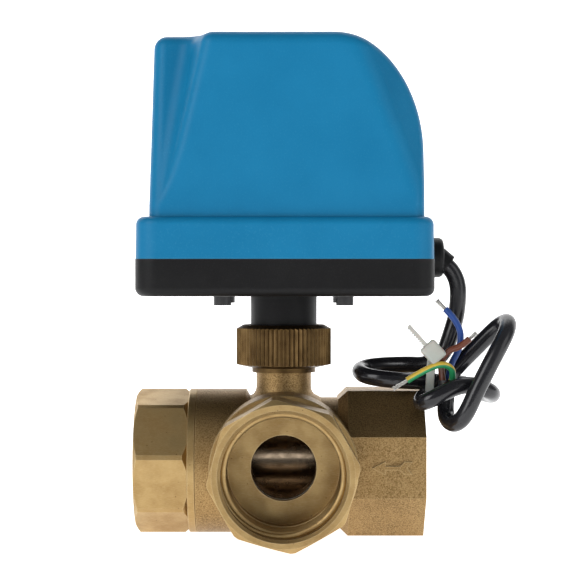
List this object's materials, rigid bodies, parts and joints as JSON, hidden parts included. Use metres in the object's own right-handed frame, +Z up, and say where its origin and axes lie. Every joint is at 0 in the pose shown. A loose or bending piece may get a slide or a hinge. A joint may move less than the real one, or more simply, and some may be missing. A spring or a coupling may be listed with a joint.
{
  "type": "motorised zone valve",
  "caption": "Motorised brass ball valve with two side ports and a front port, a knurled coupling nut, a black and blue actuator housing and a tied supply cable.",
  "frame": {"origin": "on the axis of the valve stem, in the plane of the flat pad that the valve body stands on", "axes": "+Z up along the stem, +X out of the cast right port, -Y out of the front port"},
  "size_m": [0.1067, 0.0715, 0.139],
  "materials": {
    "cast_brass": "sand cast",
    "turned_brass": "turned",
    "nut_brass": "dull, knurled",
    "plated_ball": "polished",
    "steel": "satin",
    "black_steel": "blackened",
    "black_rubber": "matte",
    "ptfe": "smooth",
    "blue_plastic": "satin",
    "black_plastic": "fine grain",
    "white_plastic": "smooth",
    "red_plastic": "smooth",
    "yellow_plastic": "gloss",
    "green_board": "gloss",
    "copper_winding": "enamelled",
    "tinned_wire": "tinned",
    "cable_jacket": "satin",
    "tie_nylon": "satin",
    "blue_insulation": "satin",
    "brown_insulation": "satin",
    "green_yellow_insulation": "striped"
  },
  "bodies": {
    "valve": {"actuator_base": "black_plastic", "ball_seats": "ptfe", "bare_core_ends": "tinned_wire", "blue_core": "blue_insulation", "board_screws": "steel", "board_standoffs": "steel", "brown_core": "brown_insulation", "cable_bundle": "cable_jacket", "cable_gland": "black_plastic", "cable_lead": "cable_jacket", "cable_tie": "tie_nylon", "cap_o_rings": "black_rubber", "case_screws": "black_steel", "circuit_board": "green_board", "cover": "blue_plastic", "cover_gasket": "black_rubber", "frame_screws": "black_steel", "front_end_cap": "turned_brass", "green_yellow_core": "green_yellow_insulation", "idler_pin": "steel", "internal_leads": "brown_insulation", "left_end_cap": "turned_brass", "limit_switches": "black_plastic", "lower_gear_plate": "steel", "lower_posts": "steel", "motor_can": "steel", "motor_coil": "copper_winding", "motor_end_plate": "steel", "motor_screws": "steel", "mounting_spigot": "black_plastic", "neck_retaining_ring": "steel", "relay": "black_plastic", "seat_o_rings": "black_rubber", "shaft_bushes": "turned_brass", "spigot_screws": "steel", "stem_thrust_washer": "ptfe", "suppression_capacitor": "yellow_plastic", "switch_screws": "steel", "switch_terminals": "turned_brass", "terminal_block": "white_plastic", "terminal_screws": "steel", "upper_gear_plate": "steel", "upper_posts": "steel", "valve_body": "cast_brass"},
    "rotor": {"ball": "plated_ball", "stem": "steel", "stem_o_rings": "black_rubber", "output_shaft": "steel", "output_gear": "steel", "gear_pin": "steel", "position_cam": "white_plastic", "cam_grub_screw": "steel"},
    "idler": {"idler_gear": "steel"},
    "motor_rotor": {"motor_pinion": "turned_brass", "motor_shaft": "steel"},
    "slip_washer": {"nut_slip_washer": "ptfe"},
    "nut": {"coupling_nut": "nut_brass"},
    "right_plunger": {"right_limit_plunger": "red_plastic"},
    "left_plunger": {"left_limit_plunger": "red_plastic"}
  },
  "joints": [
    {"name": "ball_turn", "type": "hinge", "parent": "valve", "child": "rotor", "pos_m": [0, 0, 0.0203], "axis": [0, 0, 1], "range_deg": [0, 90]},
    {"name": "idler_spin", "type": "hinge", "parent": "valve", "child": "idler", "pos_m": [-0.0208, 0, 0.09], "axis": [0, 0, 1], "range_deg": [-301, 1]},
    {"name": "motor_spin", "type": "hinge", "parent": "valve", "child": "motor_rotor", "pos_m": [-0.00977, 0.00926, 0.095], "axis": [0, 0, 1], "range_deg": [-1, 901]},
    {"name": "nut_drop", "type": "slide", "parent": "valve", "child": "slip_washer", "axis": [0, 0, -1], "range_m": [0, 0.0025]},
    {"name": "nut_turn", "type": "hinge", "parent": "slip_washer", "child": "nut", "pos_m": [0, 0, 0.052], "axis": [0, 0, -1], "range_deg": [0, 720]},
    {"name": "right_plunger_press", "type": "slide", "parent": "valve", "child": "right_plunger", "axis": [1, 0, 0], "range_m": [0, 0.0008], "stiffness_N_per_m": 100},
    {"name": "left_plunger_press", "type": "slide", "parent": "valve", "child": "left_plunger", "axis": [-1, 0, 0], "range_m": [0, 0.0008], "stiffness_N_per_m": 100}
  ],
  "couplings": [
    {"joint": "idler_spin", "follows": "ball_turn", "ratio": -3.3333},
    {"joint": "motor_spin", "follows": "ball_turn", "ratio": 10},
    {"joint": "nut_drop", "follows": "nut_turn", "m_per_rad": 0.00019894}
  ]
}
